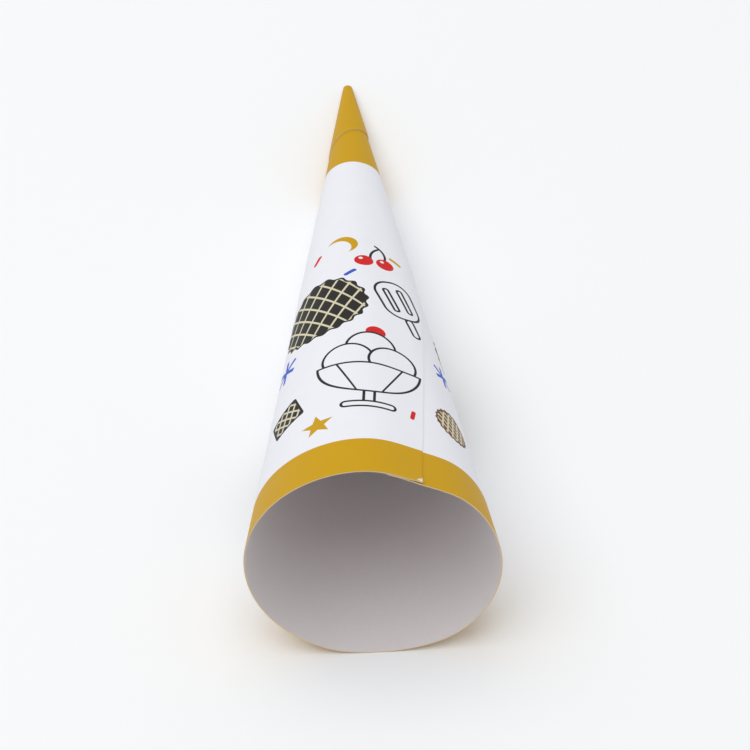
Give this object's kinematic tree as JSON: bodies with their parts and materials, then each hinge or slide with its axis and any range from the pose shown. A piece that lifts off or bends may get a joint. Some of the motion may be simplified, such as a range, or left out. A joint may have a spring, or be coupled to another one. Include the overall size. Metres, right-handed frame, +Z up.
{
  "type": "ice cream cone sleeve",
  "caption": "Slim paper cone lying on its side, wound from one printed sheet with a glued overlap, that wraps and holds an ice cream cone.",
  "frame": {"origin": "under the middle of the sleeve's box, on the surface that it lies on", "axes": "+Z up, -Y towards the open mouth, +Y towards the tip, +X to the right as seen from in front of the mouth"},
  "size_m": [0.0494, 0.1508, 0.0492],
  "materials": {
    "printed_paper": "coated white paper, satin outside with printed bands and small motifs, plain and matt inside"
  },
  "bodies": {
    "root": {"paper_sleeve": "printed_paper"}
  },
  "joints": []
}
